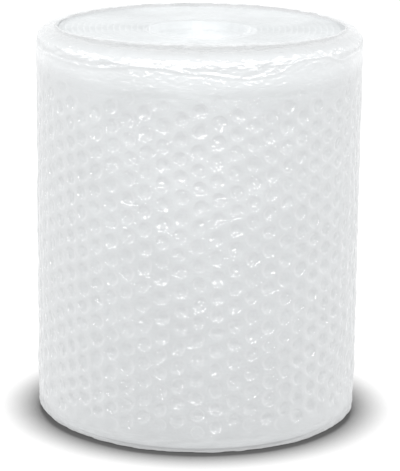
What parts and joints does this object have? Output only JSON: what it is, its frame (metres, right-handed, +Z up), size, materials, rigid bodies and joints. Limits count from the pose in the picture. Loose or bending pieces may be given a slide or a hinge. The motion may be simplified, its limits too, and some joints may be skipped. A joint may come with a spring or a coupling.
{
  "type": "bubble wrap roll",
  "caption": "Upright roll of clear air-bubble packing film, wound flat side out round an open centre hole, with the film's edges showing as a spiral on both ends.",
  "frame": {"origin": "middle of the end the roll stands on, on the axis of its centre hole", "axes": "+Z up along the roll's axis, +Y to the back, where the film's free end is, +X to the right in the picture"},
  "size_m": [0.2475, 0.2498, 0.3],
  "materials": {
    "bubble_film": "clear blown film, milky where many turns lie over each other"
  },
  "bodies": {
    "root": {"bubble_film_roll": "bubble_film"}
  },
  "joints": []
}
